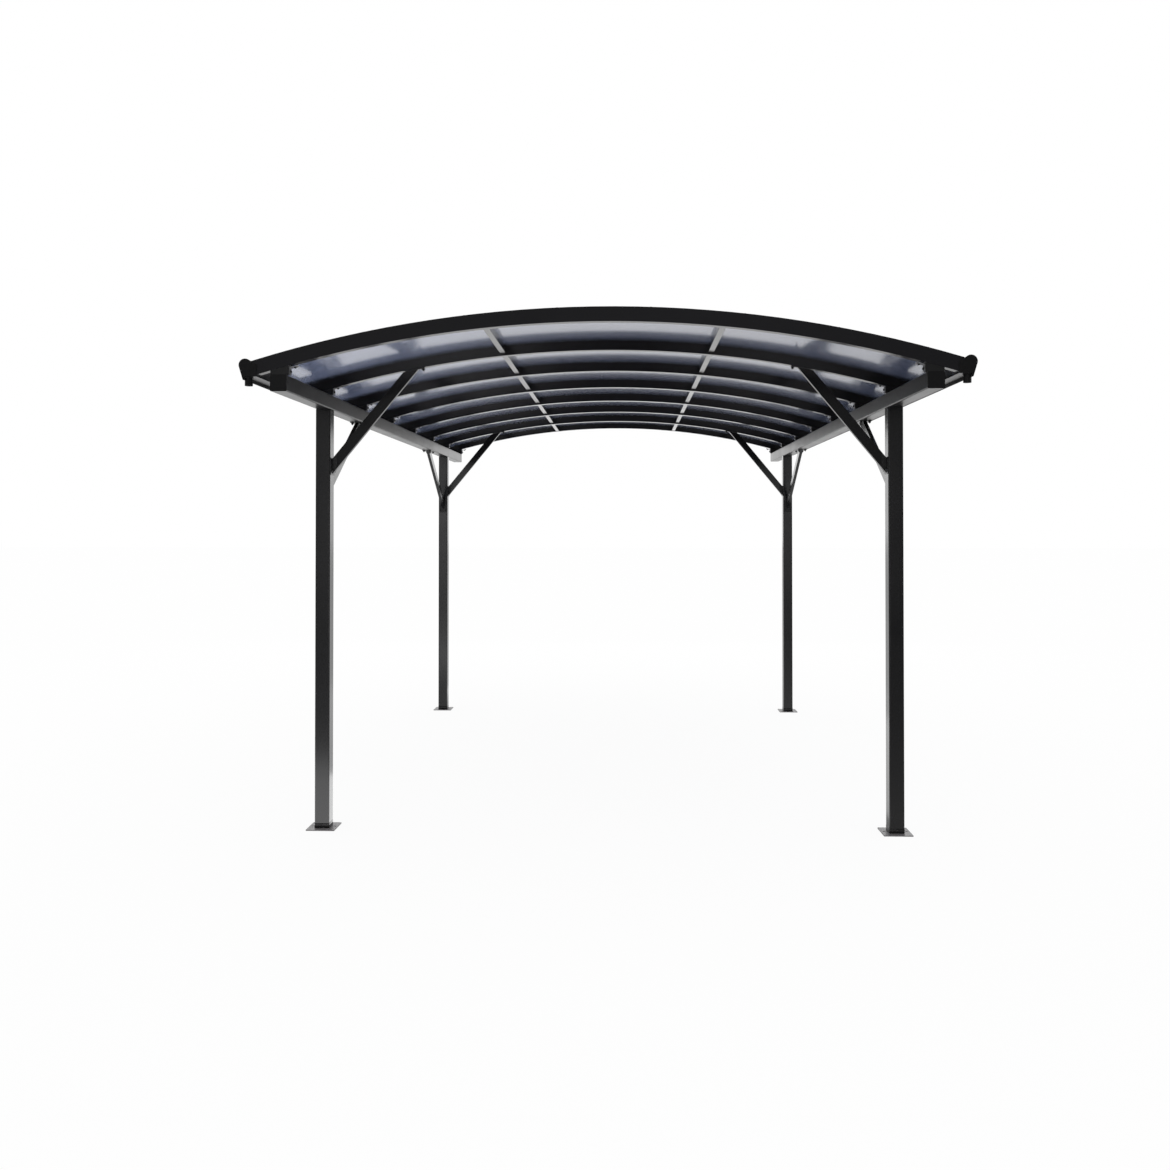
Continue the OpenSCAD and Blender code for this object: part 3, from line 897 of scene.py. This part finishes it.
def roomStrength(tree, aim, depth, span, rays):
    # plain white, except to glossy rays
    across, along, up = addNode(tree, "ShaderNodeSeparateXYZ", {0: aim}).outputs
    rightGloss = room["frontGloss"] * room["rightDim"]
    rightDoor = room["doorGloss"] * room["rightDoor"]
    dim = addRange(tree, across, room["rightFrom"], room["frontGloss"], rightGloss)
    graded = addRange(tree, depth, span, dim, room["backGloss"])
    bright = addRange(tree, across, room["doorSwap"], room["doorGloss"], rightDoor)
    side = addMath(tree, "ABSOLUTE", addMath(tree, "SUBTRACT", across, room["doorLean"]))
    turned = addMath(tree, "ABSOLUTE", addMath(tree, "SUBTRACT", side, room["doorTurn"]))
    height = addMath(tree, "ABSOLUTE", up)
    doorNear = [share * span[0] for share in room["doorNear"]]
    doors = addRange(tree, turned, room["doorEdge"], bright, -room["wallDrop"])
    for value, limits in ((height, room["doorTop"]), (along, room["doorAhead"]), (depth, doorNear)):
        doors = addMath(tree, "MULTIPLY", doors, addRange(tree, value, limits, 1.0, 0.0))
    change = addMath(tree, "SUBTRACT", addMath(tree, "ADD", doors, graded), 1.0)
    return addMath(tree, "ADD", addMath(tree, "MULTIPLY", change, rays["Is Glossy Ray"]), 1.0)


def addFloor(look):
    bpy.ops.mesh.primitive_plane_add(size=look["size"], location=(0, 0, 0))
    floor = bpy.context.object
    floor.name = "floor"
    material = bpy.data.materials.new("paleFloor")
    material.use_nodes = True
    tree = material.node_tree
    tree.nodes.clear()
    rays = addNode(tree, "ShaderNodeLightPath").outputs
    place = addNode(tree, "ShaderNodeTexCoord").outputs["Object"]
    depth = addNode(tree, "ShaderNodeSeparateXYZ", {0: place}).outputs["Y"]
    aim = addNode(tree, "ShaderNodeVectorMath", {0: place}, operation="NORMALIZE").outputs[0]
    strength = roomStrength(tree, aim, depth, depthSpans["floor"], rays)
    matte = addNode(tree, "ShaderNodeBsdfDiffuse", {"Color": look["matte"]}).outputs[0]
    shown = addNode(tree, "ShaderNodeEmission", {"Color": plainWhite, "Strength": strength}).outputs[0]
    seen = addMath(tree, "MAXIMUM", rays["Is Camera Ray"], rays["Is Transmission Ray"])
    seen = addMath(tree, "MAXIMUM", seen, rays["Is Glossy Ray"])
    share = addMath(tree, "MULTIPLY", seen, look["shown"])
    mixed = addNode(tree, "ShaderNodeMixShader", {0: share, 1: matte, 2: shown}).outputs[0]
    addNode(tree, "ShaderNodeOutputMaterial", {"Surface": mixed})
    floor.data.materials.append(material)


def addSky(look):
    world = bpy.data.worlds.new("studio")
    world.use_nodes = True
    scene.world = world
    tree = world.node_tree
    tree.nodes.clear()
    rays = addNode(tree, "ShaderNodeLightPath").outputs
    aim = addNode(tree, "ShaderNodeTexCoord").outputs["Generated"]
    across, depth, up = addNode(tree, "ShaderNodeSeparateXYZ", {0: aim}).outputs
    level = addRange(tree, across, look["across"], look["left"], look["right"])
    level = addMath(tree, "MULTIPLY", level, addRange(tree, up, look["rise"], look["low"], 1.0))
    through = addMath(tree, "MULTIPLY", addMath(tree, "SUBTRACT", level, 1.0), rays["Is Transmission Ray"])
    strength = addMath(tree, "ADD", roomStrength(tree, aim, depth, depthSpans["sky"], rays), through)
    shown = addNode(tree, "ShaderNodeBackground", {"Color": plainWhite, "Strength": strength}).outputs[0]
    addNode(tree, "ShaderNodeOutputWorld", {"Surface": shown})


def addSoftBox(name, box):
    # the power grows with the area, so the level alone says how bright the box looks
    data = bpy.data.lights.new(name, "AREA")
    data.shape = "RECTANGLE"
    data.size, data.size_y = box["size"]
    data.energy = box["level"] * pi * data.size * data.size_y
    lamp = bpy.data.objects.new(name, data)
    lamp.location = box["place"]
    lamp.rotation_euler = (Vector(box["aim"]) - Vector(box["place"])).to_track_quat("-Z", "Y").to_euler()
    lamp.visible_camera = False
    lamp.visible_transmission = False
    scene.collection.objects.link(lamp)


clearSelection()
addFloor(floorLook)
addSky(clearSky)
for name, box in softBoxes.items():
    addSoftBox(name, box)
scene.view_settings.view_transform = "Standard"
print("studio done")
